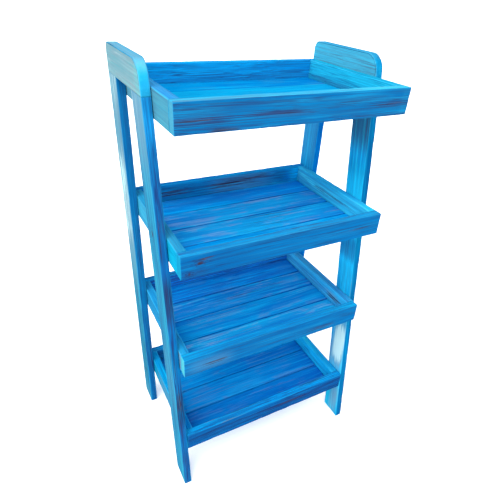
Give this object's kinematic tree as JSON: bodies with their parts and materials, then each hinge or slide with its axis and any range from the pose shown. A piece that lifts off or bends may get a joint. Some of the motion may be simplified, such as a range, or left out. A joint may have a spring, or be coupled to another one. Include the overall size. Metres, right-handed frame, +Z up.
{
  "type": "tiered wooden tray stand",
  "caption": "Free-standing tiered display stand: open slatted wooden trays held between A-shaped side frames, in distressed blue paint.",
  "frame": {"origin": "on the floor, at the centre of the footprint", "axes": "+Z up, +X to the right of someone facing the stand's front, +Y towards the back; the front faces -Y"},
  "size_m": [0.5146, 0.3568, 1],
  "materials": {
    "leg_paint": "distressed blue paint, satin, grain along the leg",
    "cap_paint": "distressed pale blue paint, satin",
    "rim_paint": "distressed azure paint with dark grain showing, satin",
    "rail_paint": "distressed azure paint, satin",
    "plank_paint": "deep blue paint, satin"
  },
  "bodies": {
    "root": {"left_front_leg": "leg_paint", "left_rear_leg": "leg_paint", "left_top_cap": "cap_paint", "right_front_leg": "leg_paint", "right_rear_leg": "leg_paint", "right_top_cap": "cap_paint", "tray1_front_panel": "rim_paint", "tray1_back_panel": "rim_paint", "tray1_left_rail": "rail_paint", "tray1_right_rail": "rail_paint", "tray1_plank1": "plank_paint", "tray1_plank2": "plank_paint", "tray1_plank3": "plank_paint", "tray1_plank4": "plank_paint", "tray2_front_panel": "rim_paint", "tray2_back_panel": "rim_paint", "tray2_left_rail": "rail_paint", "tray2_right_rail": "rail_paint", "tray2_plank1": "plank_paint", "tray2_plank2": "plank_paint", "tray2_plank3": "plank_paint", "tray2_plank4": "plank_paint", "tray3_front_panel": "rim_paint", "tray3_back_panel": "rim_paint", "tray3_left_rail": "rail_paint", "tray3_right_rail": "rail_paint", "tray3_plank1": "plank_paint", "tray3_plank2": "plank_paint", "tray3_plank3": "plank_paint", "tray3_plank4": "plank_paint", "tray4_front_panel": "rim_paint", "tray4_back_panel": "rim_paint", "tray4_left_rail": "rail_paint", "tray4_right_rail": "rail_paint", "tray4_plank1": "plank_paint", "tray4_plank2": "plank_paint", "tray4_plank3": "plank_paint", "tray4_plank4": "plank_paint"}
  },
  "joints": []
}
